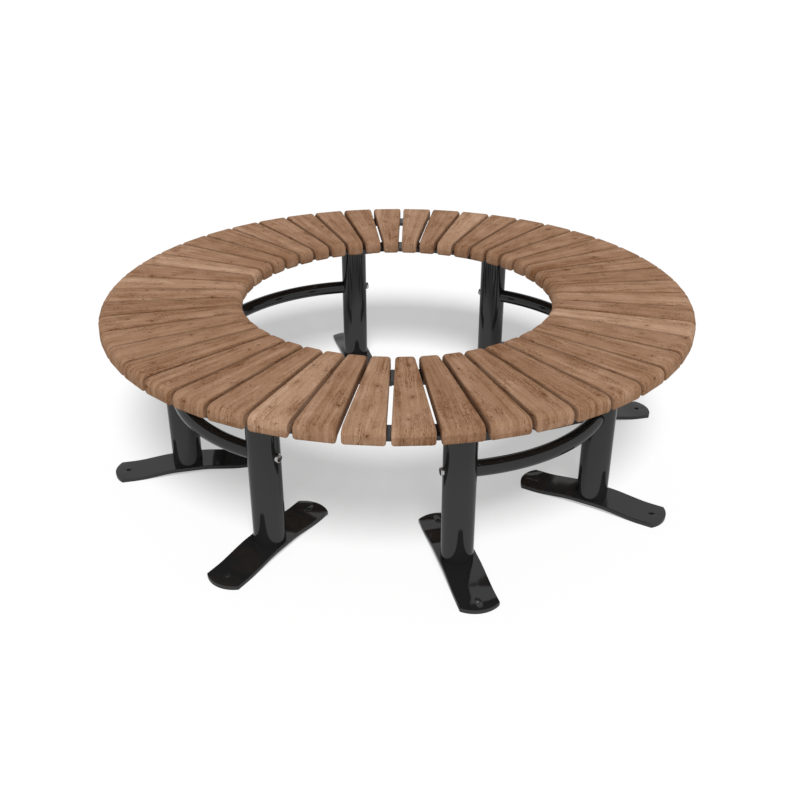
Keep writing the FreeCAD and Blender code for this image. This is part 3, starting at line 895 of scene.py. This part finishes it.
def make_sun(name, level):
    """A soft sun that brings a level surface to this share of its own colour."""
    lamp = bpy.data.lights.new(name, "SUN")
    lamp.angle = math.radians(KEY_SOFTNESS)
    lamp.energy = level * math.pi / math.sin(math.radians(KEY_ELEVATION))
    sun = bpy.data.objects.new(name, lamp)
    bpy.context.scene.collection.objects.link(sun)
    bearing = math.radians(KEY_BEARING)
    height = math.radians(KEY_ELEVATION)
    level_reach = math.cos(height)
    towards = Vector((math.cos(bearing) * level_reach, math.sin(bearing) * level_reach, math.sin(height)))
    sun.rotation_mode = "QUATERNION"
    sun.rotation_quaternion = towards.to_track_quat("Z", "Y")
    sun.visible_glossy = False
    return sun


def make_lights(floor):
    """A key light from the camera's side, and its share that only the floor receives."""
    make_sun("key", KEY_LEVEL)
    level = (1 - SHADOW_LEVEL) / FLOOR_ALBEDO - KEY_LEVEL
    floor_sun = make_sun("floor_key", level)
    receivers = bpy.data.collections.new("floor_only")
    receivers.objects.link(floor)
    floor_sun.light_linking.receiver_collection = receivers


def make_world():
    """White surroundings, softer where they light the bench than where they are seen or mirrored."""
    world = bpy.data.worlds.new("studio")
    world.use_nodes = True
    tree = world.node_tree
    tree.nodes.clear()
    level = maths(tree, "MULTIPLY_ADD", seen_share(tree), 1 - SKY_LEVEL, SKY_LEVEL)
    background = add_node(tree, "ShaderNodeBackground", {"Color": (1, 1, 1, 1), "Strength": level})
    add_node(tree, "ShaderNodeOutputWorld", {"Surface": background.outputs[0]})
    bpy.context.scene.world = world


# The camera solved from the photograph: angles in degrees, distance, height and sensor in millimetres,
# focal length and frame in pixels, shift as shares of the frame and clip in metres.
CAMERA_BEARING = 278.75
CAMERA_DISTANCE = 2354.5
CAMERA_HEIGHT = 1347.8
CAMERA_PITCH = 27.94
CAMERA_FOCAL = 965.3
CAMERA_SHIFT = (0.00366, 0.0118)
CAMERA_CLIP = (0.05, 100)
FRAME_SIZE = 800
SENSOR = 36


def make_camera():
    """The photograph's viewpoint, looking down past the middle of the ring."""
    data = bpy.data.cameras.new("camera")
    data.sensor_width = SENSOR
    data.lens = CAMERA_FOCAL / FRAME_SIZE * SENSOR
    data.shift_x, data.shift_y = CAMERA_SHIFT
    data.clip_start, data.clip_end = CAMERA_CLIP
    camera = bpy.data.objects.new("camera", data)
    bpy.context.scene.collection.objects.link(camera)
    bearing = math.radians(CAMERA_BEARING)
    camera.location = Vector((CAMERA_DISTANCE * math.cos(bearing), CAMERA_DISTANCE * math.sin(bearing),
                              CAMERA_HEIGHT)) * MM
    camera.rotation_euler = (math.radians(90 - CAMERA_PITCH), 0, bearing + math.pi / 2 - 2 * math.pi)
    bpy.context.scene.camera = camera


timber = timber_material()
paint = paint_material()
stainless = stainless_material()
for number in range(SLATS):
    make_slat(number, timber)
for number in range(POSTS):
    make_post(number, paint)
    make_foot_plate(number, paint)
    dress_node("support_arm_{}".format(number + 1), paint)
for number in range(QUARTERS):
    make_brace(number, paint)
    dress_node("splice_plate_{}".format(number + 1), paint)
dress_node("inner_rails", paint)
dress_node("outer_rails", paint)
for number in range(POSTS):
    make_brace_screw(number, stainless)

make_lights(make_floor())
make_world()
make_camera()
bpy.context.scene.view_settings.view_transform = "Standard"
